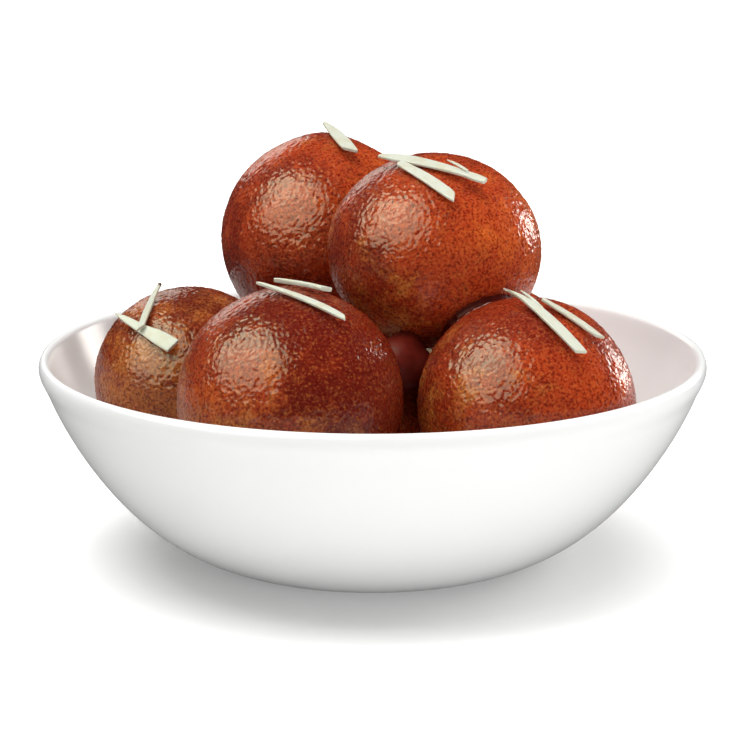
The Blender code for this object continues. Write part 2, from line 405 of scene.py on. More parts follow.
# Turns a profile about the vertical axis, with the slight waver of a hand-finished rim.
def turningTree():
    tree, come, go = newGroup("turnOnWheel", "GeometryNodeTree", [
        ("Profile", "Object"), ("Profile Steps", "Int"), ("Turn Steps", "Int"),
        ("Waver", "Float"), ("Material", "Material"),
    ], [("Geometry", "Geometry")])
    around = mathNode(tree, "ADD", come.outputs["Turn Steps"], 1.0)
    grid = addNode(tree, "GeometryNodeMeshGrid", {
        "Size X": 1.0, "Size Y": 1.0,
        "Vertices X": come.outputs["Profile Steps"], "Vertices Y": around})
    place = addNode(tree, "ShaderNodeSeparateXYZ", {0: addNode(tree, "GeometryNodeInputPosition").outputs[0]})
    along = mathNode(tree, "ADD", place.outputs["X"], 0.5, clamp=True)
    turn = mathNode(tree, "MULTIPLY", mathNode(tree, "ADD", place.outputs["Y"], 0.5), math.tau)
    profile = addNode(tree, "GeometryNodeObjectInfo", {"Object": come.outputs["Profile"]})
    sample = addNode(tree, "GeometryNodeSampleCurve", {
        "Curves": profile.outputs["Geometry"], "Factor": along}, mode="FACTOR", use_all_curves=True)
    outline = addNode(tree, "ShaderNodeSeparateXYZ", {0: sample.outputs["Position"]})
    cosine = mathNode(tree, "COSINE", turn)
    sine = mathNode(tree, "SINE", turn)
    heading = addNode(tree, "ShaderNodeCombineXYZ", {"X": cosine, "Y": sine}).outputs[0]
    centred = mathNode(tree, "SUBTRACT", noiseNode(tree, heading, bowlMake["waverScale"], 1.0), 0.5)
    high = mathNode(tree, "DIVIDE", outline.outputs["Z"], rimHeight)
    shift = mathNode(tree, "MULTIPLY", mathNode(tree, "MULTIPLY", centred, high), come.outputs["Waver"])
    radius = mathNode(tree, "MAXIMUM", mathNode(tree, "ADD", outline.outputs["X"], shift), 0.0)
    onAxis = mathNode(tree, "GREATER_THAN", outline.outputs["X"], bowlMake["weld"])
    radius = mathNode(tree, "MULTIPLY", radius, onAxis)
    target = addNode(tree, "ShaderNodeCombineXYZ", {
        "X": mathNode(tree, "MULTIPLY", radius, cosine),
        "Y": mathNode(tree, "MULTIPLY", radius, sine),
        "Z": outline.outputs["Z"]})
    moved = addNode(tree, "GeometryNodeSetPosition", {
        "Geometry": grid.outputs["Mesh"], "Position": target.outputs[0]})
    closed = addNode(tree, "GeometryNodeMergeByDistance", {
        "Geometry": moved.outputs[0], "Distance": bowlMake["seam"]})
    return finishTree(tree, closed.outputs[0], come, go)


def porcelain():
    material, tree, shader = newMaterial("porcelain")
    where = placeNode(tree)
    height = addNode(tree, "ShaderNodeSeparateXYZ", {0: where}).outputs["Z"]
    firing = noiseNode(tree, where, bowlMake["firingScale"], 3.0)
    tint = rampNode(tree, firing, bowlMake["tintEnds"], (bowlMake["glaze"], bowlMake["glazeWarm"]))
    footShare = mathNode(tree, "DIVIDE", height, bowlMake["footHeight"])
    bare = fadeNode(tree, footShare, bowlMake["glazeEdge"], 1.0, 0.0)
    clayGrain = noiseNode(tree, where, bowlMake["clayScale"])
    clay = rampNode(tree, clayGrain, bowlMake["tintEnds"], (bowlMake["bareClay"], bowlMake["bareClayPale"]))
    soft = noiseNode(tree, where, bowlMake["softScale"])
    glazeRough = mathNode(tree, "MULTIPLY_ADD", soft, bowlMake["roughnessSpread"], bowlMake["glazeRoughness"])
    rough = addNode(tree, "ShaderNodeMix", {
        0: bare, 2: glazeRough, 3: bowlMake["bareRoughness"]}, data_type="FLOAT")
    ripple = noiseNode(tree, where, bowlMake["rippleScale"], 1.0)
    setInputs(shader, {
        "Base Color": mixColour(tree, bare, tint, clay),
        "Roughness": rough.outputs[0],
        "Normal": bumpNode(tree, ripple, bowlMake["glazeRipple"]),
    })
    return material


def makeBowl():
    profile = profileCurve()
    settings = {
        "Profile": profile,
        "Profile Steps": bowlMake["profileSteps"] + bowlMake["footSteps"],
        "Turn Steps": bowlMake["turnSteps"],
        "Waver": bowlMake["handWobble"],
    }
    bowl = bakeNodes("porcelainBowl", turningTree(), settings, porcelain())
    bpy.data.objects.remove(profile)
    finishPiece(bowl, "porcelain", "bowl")


makeBowl()
print("the bowl is turned")


ballMake = {
    "sideSteps": 33,            # points along each side of the rough cube that becomes a ball
    "rounding": 10,             # smoothing rounds over the frame's flat faces
    "refine": 2,
    "buriedRefine": 1,
    "lumpDepth": 0.00016,
    "lumpSize": 0.0090,
    "wrinkleDepth": 0.00029,
    "wrinkleSize": 0.00088,
    "wrinkleNoise": (2.0, 0.55, 0.9),       # detail, roughness and distortion
    "dimpleDepth": 0.00004,
    "dimpleSize": 0.0011,
    "dimpleSoftness": 0.6,
}

skinLook = {
    # the deep red also stands where a ball turns away from its painted lit side: partly the skin's own tone,
    # partly painted shade
    "deep": (0.220, 0.018, 0.007),
    "warm": (0.420, 0.048, 0.011),
    # glow: an orange painted where a ball faces its lit side, painted light
    "glow": (0.640, 0.125, 0.020),
    "pale": (0.500, 0.155, 0.032),
    "speck": (0.105, 0.008, 0.004),
    "char": (0.060, 0.005, 0.003),
    "patchSize": 0.011,
    "speckSize": 0.00055,
    "roughness": 0.30,
    "roughnessSpread": 0.3,
    "roughnessLeast": 0.05,
    "grainDepth": 0.00007,
    # each noise has a detail, a roughness and perhaps a distortion
    "patchNoise": (5.0, 0.66, 0.3),
    "paleNoise": (7.0, 0.72),
    "grainNoise": (2.5, 0.6),
    "foldNoise": (1.0, 0.5, 0.6),
    "paintedLightLean": 0.22,           # how far a ball's painted lit side outweighs the noise
    # how far a ball's pale side, partly painted light, outweighs the noise
    "paleAndLightLean": 0.14,
    "redFade": (0.28, 0.52),
    "paintedGlowFade": (0.52, 0.80),
    "paleShift": (0.31, 0.17, 0.53),
    "paleScale": 1.3,           # of the patches' own scale
    "paleFade": (0.42, 0.64),
    "paleMost": 0.9,
    "speckFade": (0.35, 0.54),
    "speckMost": 0.70,
    "fleckFade": (0.52, 0.68),
    "fleckMost": 0.80,
    "fleckShares": (0.7, 0.5),  # on pale patches over the rest, and everywhere
    "poreScale": 0.40,          # of the specks' own scale
    "poreFade": (0.10, 0.30),
    "poreChance": 0.45,
    "poreDark": 0.6,
    "poreDepth": 0.9,
    "foldScale": 0.8,
    "shader": {
        "Specular IOR Level": 0.18,
        "Specular Tint": (1.0, 0.72, 0.45),
        "Coat Weight": 0.60,
        "Coat Roughness": 0.09,
        "Subsurface Weight": 0.4,
        "Subsurface Radius": (1.0, 0.25, 0.08),
        "Subsurface Scale": 0.004,
    },
}

# how far each ball leans from the plain finish; the warm side paints light, the lit side's orange glow on the
# upper balls and a lift of the shaded underside on the lower ones; the pale side is partly the skin's own
# pale patches and partly painted light
skinTones = {
    "jamun_left": {
        # darker copies of the deep and warm colours: painted shade
        "deep": (0.140, 0.018, 0.007), "warm": (0.280, 0.038, 0.011), "warmShare": 0.46, "paleShare": 0.48,
        "paleAndLitSide": (-0.2, -0.6, -0.6), "paintedLitSide": (0.0, -0.3, -0.6),
    },
    "jamun_front_left": {
        # darker copies of the deep and warm colours: painted shade
        "deep": (0.130, 0.008, 0.004), "warm": (0.310, 0.034, 0.010), "warmShare": 0.42, "paleShare": 0.40,
        "paleAndLitSide": (-0.7, -0.5, -0.9), "paintedLitSide": (-1.0, -0.2, -0.6),
    },
    "jamun_right": {
        "warmShare": 0.44, "paleShare": 0.38, "paleAndLitSide": (-0.9, -0.5, -0.8), "paintedLitSide": (0.5, -0.3, -0.6),
    },
    "jamun_top_left": {
        "warmShare": 0.44, "paleShare": 0.32, "paleAndLitSide": (0.3, -0.1, 0.5), "paintedLitSide": (0.6, -0.3, 0.2),
    },
    "jamun_top_right": {
        "warmShare": 0.46, "paleShare": 0.34, "paleAndLitSide": (-0.5, -0.4, -0.8), "paintedLitSide": (0.9, -0.1, 0.0),
    },
    "jamun_centre": {"warmShare": 0.52, "paleShare": 0.20},
    "jamun_back_left": {"warmShare": 0.42, "paleShare": 0.40, "paleAndLitSide": (0.0, 0.5, 0.3)},
    "jamun_back_right": {"warmShare": 0.46, "paleShare": 0.42, "paleAndLitSide": (0.3, 0.5, 0.2)},
}


# A cube's points swollen to a ball, laid on the frame's own ball, smoothed and then wrinkled.
def ballTree():
    layers = ("Lump", "Wrinkle", "Dimple")
    tree, come, go = newGroup("rolledBall", "GeometryNodeTree", [
        ("Frame Ball", "Object"), ("Centre", "Vector"), ("Reach", "Float"),
        ("Side Steps", "Int"), ("Rounding", "Int"), ("Refine", "Int"), ("Material", "Material"),
        *((layer + measure, "Float") for layer in layers for measure in (" Depth", " Size")),
    ], [("Geometry", "Geometry")])
    side = come.outputs["Side Steps"]
    cube = addNode(tree, "GeometryNodeMeshCube", {
        "Size": (2.0, 2.0, 2.0), "Vertices X": side, "Vertices Y": side, "Vertices Z": side})
    place = addNode(tree, "GeometryNodeInputPosition").outputs[0]
    even = vectorNode(tree, "TANGENT", vectorNode(tree, "SCALE", place, math.pi / 4.0))
    way = vectorNode(tree, "NORMALIZE", even)
    centre = come.outputs["Centre"]
    start = vectorNode(tree, "ADD", centre, vectorNode(tree, "SCALE", way, come.outputs["Reach"]))
    back = vectorNode(tree, "SCALE", way, -1.0)
    skin = addNode(tree, "GeometryNodeObjectInfo", {"Object": come.outputs["Frame Ball"]})
    ray = addNode(tree, "GeometryNodeRaycast", {
        "Target Geometry": skin.outputs["Geometry"], "Source Position": start,
        "Ray Direction": back, "Ray Length": come.outputs["Reach"]})
    radius = vectorNode(tree, "DISTANCE", ray.outputs["Hit Position"], centre)
    stored = addNode(tree, "GeometryNodeStoreNamedAttribute", {
        "Geometry": cube.outputs["Mesh"], "Name": "way", "Value": way}, data_type="FLOAT_VECTOR")
    blur = addNode(tree, "GeometryNodeBlurAttribute", {
        0: radius, "Iterations": come.outputs["Rounding"]}, data_type="FLOAT")
    onSkin = vectorNode(tree, "ADD", centre, vectorNode(tree, "SCALE", way, blur.outputs[0]))
    rounded = addNode(tree, "GeometryNodeSetPosition", {"Geometry": stored.outputs[0], "Position": onSkin})
    fine = addNode(tree, "GeometryNodeSubdivisionSurface", {
        "Mesh": rounded.outputs[0], "Level": come.outputs["Refine"]})
    spot = addNode(tree, "GeometryNodeInputPosition").outputs[0]
    lumpScale, wrinkleScale, dimpleScale = [
        mathNode(tree, "DIVIDE", 1.0, come.outputs[layer + " Size"]) for layer in layers]
    lumps = noiseNode(tree, spot, lumpScale, 1.0)
    folds = noiseNode(tree, spot, wrinkleScale, *ballMake["wrinkleNoise"])
    dimples = addNode(tree, "ShaderNodeTexVoronoi", {
        "Vector": spot, "Scale": dimpleScale, "Smoothness": ballMake["dimpleSoftness"]}, feature="SMOOTH_F1")
    lift, fold, dimple = [
        mathNode(tree, "MULTIPLY", mathNode(tree, "SUBTRACT", relief, 0.5), come.outputs[layer + " Depth"])
        for relief, layer in zip((lumps, folds, dimples.outputs[0]), layers)]
    rise = mathNode(tree, "MULTIPLY", mathNode(tree, "ADD", mathNode(tree, "ADD", lift, fold), dimple), 2.0)
    normal = addNode(tree, "GeometryNodeInputNormal").outputs[0]
    wrinkled = addNode(tree, "GeometryNodeSetPosition", {
        "Geometry": fine.outputs[0], "Offset": vectorNode(tree, "SCALE", normal, rise)})
    return finishTree(tree, wrinkled.outputs[0], come, go)


# Fried, syrup-soaked skin: broad warm and pale patches that lean to given sides, painting light and shade on
# the ball, a fine dark speckle and pores.
def skinGroup():
    colours = ("deep", "warm", "glow", "pale", "speck", "char")
    tree, come, go = newGroup("friedSkin", "ShaderNodeTree", [
        ("Place", "Vector"), ("Centre", "Vector"), ("Pale Side", "Vector"), ("Warm Side", "Vector"),
        *((label.capitalize(), "Color", (*skinLook[label], 1.0)) for label in colours),
        ("Warm Share", "Float"), ("Pale Share", "Float"),
        ("Patch Size", "Float", skinLook["patchSize"]),
        ("Speck Size", "Float", skinLook["speckSize"]),
        ("Roughness", "Float", skinLook["roughness"]),
    ], [("Colour", "Color"), ("Roughness", "Float"), ("Height", "Float")])
    place = come.outputs["Place"]
    patchScale = mathNode(tree, "DIVIDE", 1.0, come.outputs["Patch Size"])
    speckScale = mathNode(tree, "DIVIDE", 1.0, come.outputs["Speck Size"])
    outward = vectorNode(tree, "NORMALIZE", vectorNode(tree, "SUBTRACT", place, come.outputs["Centre"]))

    # a noise, leaning to the ball's given side to paint light there, and moved by its own share
    def patches(cloud, label, lean):
        facing = vectorNode(tree, "DOT_PRODUCT", outward, come.outputs[label + " Side"])
        leaning = mathNode(tree, "MULTIPLY_ADD", facing, lean, cloud)
        return mathNode(tree, "ADD", leaning, mathNode(tree, "SUBTRACT", come.outputs[label + " Share"], 0.5))

    broad = noiseNode(tree, place, patchScale, *skinLook["patchNoise"])
    # the warm lean paints light: deep red turning away from the ball's painted lit side, warm and then an
    # orange glow towards it, over the skin's own random tone
    toneAndPaintedLight = patches(broad, "Warm", skinLook["paintedLightLean"])
    red = fadeNode(tree, toneAndPaintedLight, skinLook["redFade"])
    paintedGlow = fadeNode(tree, toneAndPaintedLight, skinLook["paintedGlowFade"])
    colour = mixColour(tree, red, come.outputs["Deep"], come.outputs["Warm"])
    colour = mixColour(tree, paintedGlow, colour, come.outputs["Glow"])

    # pale patches, partly the skin's own and partly painted light
    shifted = vectorNode(tree, "ADD", place, skinLook["paleShift"])
    paleScale = mathNode(tree, "MULTIPLY", patchScale, skinLook["paleScale"])
    cloudy = noiseNode(tree, shifted, paleScale, *skinLook["paleNoise"])
    paleAndPaintedLight = patches(cloudy, "Pale", skinLook["paleAndLightLean"])
    paleAndPaintedLight = fadeNode(tree, paleAndPaintedLight, skinLook["paleFade"], 0.0, skinLook["paleMost"])
    colour = mixColour(tree, paleAndPaintedLight, colour, come.outputs["Pale"])

    grain = noiseNode(tree, place, speckScale, *skinLook["grainNoise"])
    dark = fadeNode(tree, grain, skinLook["speckFade"], skinLook["speckMost"], 0.0)
    colour = mixColour(tree, dark, colour, come.outputs["Speck"])
    light = fadeNode(tree, grain, skinLook["fleckFade"], 0.0, skinLook["fleckMost"])
    fleckShare = mathNode(tree, "MULTIPLY_ADD", paleAndPaintedLight, *skinLook["fleckShares"])
    flecks = mathNode(tree, "MULTIPLY", light, fleckShare)
    colour = mixColour(tree, flecks, colour, come.outputs["Pale"])

    pores = addNode(tree, "ShaderNodeTexVoronoi", {
        "Vector": place, "Scale": mathNode(tree, "MULTIPLY", speckScale, skinLook["poreScale"])})
    chance = addNode(tree, "ShaderNodeSeparateColor", {0: pores.outputs["Color"]}).outputs[0]
    chosen = mathNode(tree, "GREATER_THAN", chance, skinLook["poreChance"])
    inside = fadeNode(tree, pores.outputs["Distance"], skinLook["poreFade"], 1.0, 0.0)
    pore = mathNode(tree, "MULTIPLY", inside, chosen)
    charred = mathNode(tree, "MULTIPLY", pore, skinLook["poreDark"])
    colour = mixColour(tree, charred, colour, come.outputs["Char"])
    rough = mathNode(tree, "MULTIPLY", mathNode(tree, "SUBTRACT", grain, 0.5), skinLook["roughnessSpread"])
    rough = mathNode(tree, "ADD", come.outputs["Roughness"], rough)
    foldScale = mathNode(tree, "MULTIPLY", speckScale, skinLook["foldScale"])
    fold = noiseNode(tree, place, foldScale, *skinLook["foldNoise"])
    height = mathNode(tree, "SUBTRACT", fold, mathNode(tree, "MULTIPLY", pore, skinLook["poreDepth"]))
    setInputs(go, {
        "Colour": colour,
        "Roughness": mathNode(tree, "MAXIMUM", rough, skinLook["roughnessLeast"]),
        "Height": height,
    })
    return tree


def syrupSkin(name, group, centre):
    material, tree, shader = newMaterial("syrupSkin_" + name)
    tone = skinTones[name]
    skin = addNode(tree, "ShaderNodeGroup", {
        "Place": placeNode(tree),
        "Centre": centre,
        "Pale Side": Vector(tone.get("paleAndLitSide", (0.0, 0.0, 0.0))),
        "Warm Side": Vector(tone.get("paintedLitSide", (0.0, 0.0, 0.0))),
        "Deep": tone.get("deep", skinLook["deep"]),
        "Warm": tone.get("warm", skinLook["warm"]),
        "Warm Share": tone["warmShare"],
        "Pale Share": tone["paleShare"],
    }, node_tree=group)
    setInputs(shader, {
        "Base Color": skin.outputs["Colour"],
        "Roughness": skin.outputs["Roughness"],
        "Normal": bumpNode(tree, skin.outputs["Height"], skinLook["grainDepth"]),
        **skinLook["shader"],
    })
    return material


def makeBalls():
    tree, group = ballTree(), skinGroup()
    made = {}
    for name in shownBalls + buriedBalls:
        low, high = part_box(name)
        centre = (low + high) / 2.0
        settings = {
            "Frame Ball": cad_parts[name],
            "Centre": centre,
            "Reach": (high - low).length,
            "Side Steps": ballMake["sideSteps"],
            "Rounding": ballMake["rounding"],
            "Refine": ballMake["buriedRefine"] if name in buriedBalls else ballMake["refine"],
        }
        for layer, measure in itertools.product(("Lump", "Wrinkle", "Dimple"), ("Depth", "Size")):
            settings[layer + " " + measure] = ballMake[layer.lower() + measure]
        ball = bakeNodes("skin_" + name, tree, settings, syrupSkin(name, group, centre))
        made[name] = finishPiece(ball, "syrup_skin", name)
    return made


balls = makeBalls()
print("the balls are rolled and soaked")


bridgeMake = {
    "turnSteps": 120,
    "archSteps": 8,
    "ballsApart": 0.0455,       # balls whose middles are farther apart don't touch
    "contactGap": 0.00076,      # nor do balls whose skins are this far apart
    "gap": 0.0019,              # the balls are this far apart where a bridge of syrup ends
    "nearest": 0.0010,          # the search for that place goes out from here, step by step
    "searchStep": 0.0001,
    "farthest": 0.014,
    "rayStart": 0.004,
    "sag": 0.00055,             # how far its hollow face draws in
    "bite": 0.00008,            # how far its edges go into the balls
    "depth": 0.0022,
    "halfBack": 0.0003,
    # the shown contacts whose syrup ends in a bead, painted pale as a glint, and the ball of the two it lies
    # on
    "beads": {("jamun_right", "jamun_top_right"): 0, ("jamun_front_left", "jamun_top_right"): 0},
    "beadSize": 0.00013,
    "beadSides": 8,
    "beadLift": 0.0001,         # how far it stands off the bridge's edge
    "beadSwell": 420.0,         # the scale of the noise that swells and thins it
    "beadSwing": 1.4,
    "beadLeast": 0.15,          # of its full size, where it is thinnest
    # syrup standing in the hollow between these four balls, dark enough to fill the gap between them with
    # painted shade, and how far out it reaches
    "pool": ("jamun_front_left", "jamun_right", "jamun_top_right", "jamun_centre"),
    "poolReach": 0.0072,
    "poolPress": 0.0005,        # how far it goes into the balls
    "poolHollow": 0.0059,       # how near its middle its open faces draw in
    "poolRefine": 5,
    "poolRounds": 16,
    "poolSink": 0.04,           # of the way towards the last of the four
}

# colours along a noise of that scale, which also adds to the roughness
syrupLooks = {
    "syrupFilmAndShade": {
        # dark maroon, darkened so the syrup between the balls reads as their shade: partly syrup, partly
        # painted shade
        "scale": 420.0, "ends": (0.35, 0.70), "colours": ((0.095, 0.008, 0.005), (0.125, 0.011, 0.006)),
        "roughness": 0.30, "roughnessSpread": 0.20,
        "shader": {"Specular IOR Level": 0.12, "Coat Weight": 0.06, "Coat Roughness": 0.12},
    },
    "syrupPaintedGlint": {
        # the pale colour is a painted highlight: the glint along the syrup's edge
        "scale": 700.0, "ends": (0.30, 0.44), "colours": ((0.125, 0.011, 0.006), (0.92, 0.84, 0.80)),
        "roughness": 0.10, "roughnessSpread": 0.10,
        "shader": {"Coat Weight": 0.5},
    },
}


# Where the gap between two balls grows to the bridge's width, for each way round their axis.
def bridgeRing(firstTree, secondTree, firstCentre, secondCentre):
    axis = (secondCentre - firstCentre).normalized()
    sideways = axis.orthogonal().normalized()
    turned = axis.cross(sideways)
    near = firstTree.ray_cast(firstCentre, axis)[0]
    far = secondTree.ray_cast(secondCentre, -axis)[0]
    if (far - near).dot(axis) > bridgeMake["contactGap"]:
        return None
    heart = (near + far) / 2.0
    rows = []
    for step in range(bridgeMake["turnSteps"]):
        angle = math.tau * step / bridgeMake["turnSteps"]
        outward = sideways * math.cos(angle) + turned * math.sin(angle)
        row = None
        reach = bridgeMake["nearest"]
        while reach < bridgeMake["farthest"]:
            spot = heart + outward * reach
            low = firstTree.ray_cast(spot + axis * bridgeMake["rayStart"], -axis)[0]
            high = secondTree.ray_cast(spot - axis * bridgeMake["rayStart"], axis)[0]
            if low is None or high is None:
                break
            row = (low, high, outward)
            if (high - low).dot(axis) > bridgeMake["gap"]:
                break
            reach += bridgeMake["searchStep"]
        if row is None:
            return None
        rows.append(row)
    return axis, rows


def syrupMaterial(name):
    material, tree, shader = newMaterial(name)
    look = syrupLooks[name]
    depth = noiseNode(tree, placeNode(tree), look["scale"])
    setInputs(shader, {
        "Base Color": rampNode(tree, depth, look["ends"], look["colours"]),
        "Roughness": mathNode(tree, "MULTIPLY_ADD", depth, look["roughnessSpread"], look["roughness"]),
        **look["shader"],
    })
    return material


# A thin bead of syrup along a closed line of places, swelling and thinning as it goes.
def addBead(shell, places, seed):
    sides = bridgeMake["beadSides"]
    turns = [math.tau * i / sides for i in range(sides)]
    rows = []
    for k, place in enumerate(places):
        heading = (places[(k + 1) % len(places)] - places[k - 1]).normalized()
        across = heading.orthogonal().normalized()
        upward = heading.cross(across)
        swell = 0.5 + noise.noise(place * bridgeMake["beadSwell"] + Vector((0.0, 0.0, seed)))
        swell = max(bridgeMake["beadLeast"], min(1.0, swell * bridgeMake["beadSwing"]))
        size = bridgeMake["beadSize"] * swell
        rows.append([shell.verts.new(place + (across * math.cos(turn) + upward * math.sin(turn)) * size)
                     for turn in turns])
    for row, following in zip(rows, rows[1:] + rows[:1]):
        shift = min(range(sides), key=lambda i: (following[i].co - row[0].co).length)
        following[:] = following[shift:] + following[:shift]
        joinRows(shell, row, following)


# Syrup held in the hollow between four balls, pressed against each of them; its dark colour fills the gap
# with painted shade.
def addPool(shell, trees, centres):
    first, *others = [centres[name] for name in bridgeMake["pool"]]
    lines = np.array([2.0 * (other - first) for other in others])
    sums = [other.length_squared - first.length_squared for other in others]
    heart = Vector(np.linalg.solve(lines, sums)).lerp(others[-1], bridgeMake["poolSink"])
    made = bmesh.ops.create_icosphere(shell, subdivisions=bridgeMake["poolRefine"], radius=1.0)["verts"]
    reaches = {}
    for vertex in made:
        hits = [tree.ray_cast(heart, vertex.co, bridgeMake["poolReach"])[3] for tree in trees.values()]
        pressed = [hit + bridgeMake["poolPress"] for hit in hits if hit is not None]
        reaches[vertex] = min(pressed or [bridgeMake["poolHollow"]])
    for _ in range(bridgeMake["poolRounds"]):
        around = {vertex: [reaches[edge.other_vert(vertex)] for edge in vertex.link_edges] for vertex in made}
        reaches = {vertex: (reaches[vertex] + sum(near) / len(near)) / 2.0 for vertex, near in around.items()}
    for vertex in made:
        vertex.co = heart + vertex.co.normalized() * reaches[vertex]


def makeBridges(balls):
    trees = {}
    for name, ball in balls.items():
        mesh = ball.data
        trees[name] = BVHTree.FromPolygons([v.co for v in mesh.vertices], [p.vertices for p in mesh.polygons])
    centres = {name: sum(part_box(name), Vector()) / 2.0 for name in balls}
    shell, beads = bmesh.new(), bmesh.new()
    for first, second in itertools.combinations(balls, 2):
        if (centres[first] - centres[second]).length >= bridgeMake["ballsApart"]:
            continue
        found = bridgeRing(trees[first], trees[second], centres[first], centres[second])
        if not found:
            continue
        axis, rings = found
        if (first, second) in bridgeMake["beads"]:
            side = bridgeMake["beads"][(first, second)]
            lift = axis * (1 - 2 * side)
            places = [ring[side] + (ring[2] + lift) * bridgeMake["beadLift"] for ring in rings]
            addBead(beads, places, centres[first].x)
        rows = []
        for low, high, outward in rings:
            arch = []
            for step in range(bridgeMake["archSteps"] + 1):
                t = step / bridgeMake["archSteps"]
                spot = low.lerp(high, t) - outward * bridgeMake["sag"] * 4.0 * t * (1.0 - t)
                arch.append(spot + axis * bridgeMake["bite"] * (2.0 * t - 1.0))
            middle = low.lerp(high, 0.5) - outward * bridgeMake["depth"]
            arch += [middle + axis * bridgeMake["halfBack"], middle - axis * bridgeMake["halfBack"]]
            rows.append([shell.verts.new(spot) for spot in arch])
        for row, following in zip(rows, rows[1:] + rows[:1]):
            joinRows(shell, row, following)
    addPool(shell, trees, centres)
    for name, look, made in (("syrupBridges", "syrupFilmAndShade", shell), ("syrupBeads", "syrupPaintedGlint", beads)):
        finishPiece(meshObject(name, made, syrupMaterial(look)), "syrup_skin")


makeBridges(balls)
print("the syrup bridges the balls")


# outline: places along the sliver, from its narrow end, with its two edges in millimetres; a shape
# that names no sway, toasted end or splinters has none
sliverShapes = {
    "almond_left_blade": {
        "ball": "jamun_left", "bend": 0.5, "twist": 6.0, "slants": (0.3, 0.9),
        "outline": [(0.0, -0.12, 0.10), (0.09, -0.48, 0.28), (0.22, -0.80, 0.42), (0.40, -1.05, 0.48),
                    (0.55, -1.25, 0.78), (0.72, -1.45, 1.12), (0.89, -1.50, 1.15)],
    },
    "almond_left_upright": {
        "ball": "jamun_left", "bend": 0.2, "twist": -8.0, "slants": (0.1, -0.8), "sway": (0.25, 0.0),
        "toast": 0.09,
        "outline": [(0.0, -0.30, 0.22), (0.08, -0.32, 0.30), (0.3, -0.52, 0.45), (0.7, -0.66, 0.55),
                    (1.0, -0.60, 0.50)],
    },
    "almond_front_long": {
        "ball": "jamun_front_left", "bend": 0.7, "twist": 10.0, "slants": (0.3, -0.5), "sway": (0.3, 0.0),
        "outline": [(0.0, -0.16, 0.20), (0.1, -0.36, 0.32), (0.3, -0.52, 0.46), (0.6, -0.66, 0.60),
                    (0.85, -0.70, 0.62), (1.0, -0.52, 0.46)],
    },
    "almond_front_short": {
        "ball": "jamun_front_left", "bend": 0.2, "twist": -12.0, "slants": (0.0, 0.7), "sway": (0.1, 0.0),
        "outline": [(0.0, -0.22, 0.16), (0.3, -0.46, 0.40), (0.7, -0.60, 0.62), (1.0, -0.66, 0.76)],
    },
    "almond_top_left": {
        "ball": "jamun_top_left", "bend": 0.5, "twist": 5.0, "slants": (0.0, 1.2),
        "outline": [(0.0, -0.30, 0.30), (0.3, -0.95, 0.90), (0.7, -1.30, 1.25), (0.9, -1.10, 1.25),
                    (1.0, -0.60, 1.10)],
    },
    "almond_top_right_low": {
        "ball": "jamun_top_right", "bend": 0.6, "twist": 4.0, "slants": (0.0, -0.8), "sway": (0.0, 0.1),
        "outline": [(0.0, -0.60, 0.60), (0.2, -0.80, 0.74), (0.6, -0.94, 0.92), (0.9, -0.94, 0.92),
                    (1.0, -0.74, 0.72)],
    },
    "almond_top_right_high": {
        "ball": "jamun_top_right", "bend": 0.9, "twist": -6.0, "slants": (0.5, 0.0), "sway": (0.2, 0.0),
        "outline": [(0.0, -0.50, 0.40), (0.06, -0.75, 0.66), (0.3, -1.10, 1.05), (0.55, -1.00, 0.92),
                    (0.8, -0.78, 0.74), (0.92, -0.95, 0.90), (0.98, -0.80, 0.75), (1.0, -0.42, 0.38)],
        "splinters": [{"start": (0.58, 2.7, 0.3), "end": (0.82, 0.2, 0.6), "width": 0.46}],
    },
    "almond_right_low": {
        "ball": "jamun_right", "bend": 0.3, "twist": 6.0, "slants": (0.0, 0.8),
        "outline": [(0.0, -0.30, 0.30), (0.15, -0.50, 0.45), (0.5, -0.72, 0.66), (0.85, -0.66, 0.60),
                    (1.0, -0.42, 0.50)],
    },
    "almond_right_forked": {
        "ball": "jamun_right", "bend": 0.6, "twist": -5.0, "slants": (0.4, 0.6), "sway": (-1.7, 0.0),
        "outline": [(0.0, -0.12, 0.10), (0.08, -0.26, 0.22), (0.2, -0.48, 0.45), (0.35, -0.78, 0.78),
                    (0.6, -0.95, 0.92), (0.85, -0.95, 0.90), (1.0, -0.88, 0.74)],
        "splinters": [{"start": (0.10, 0.5, 0.1), "end": (0.38, 0.9, 0.2), "width": 0.45}],
    },
}

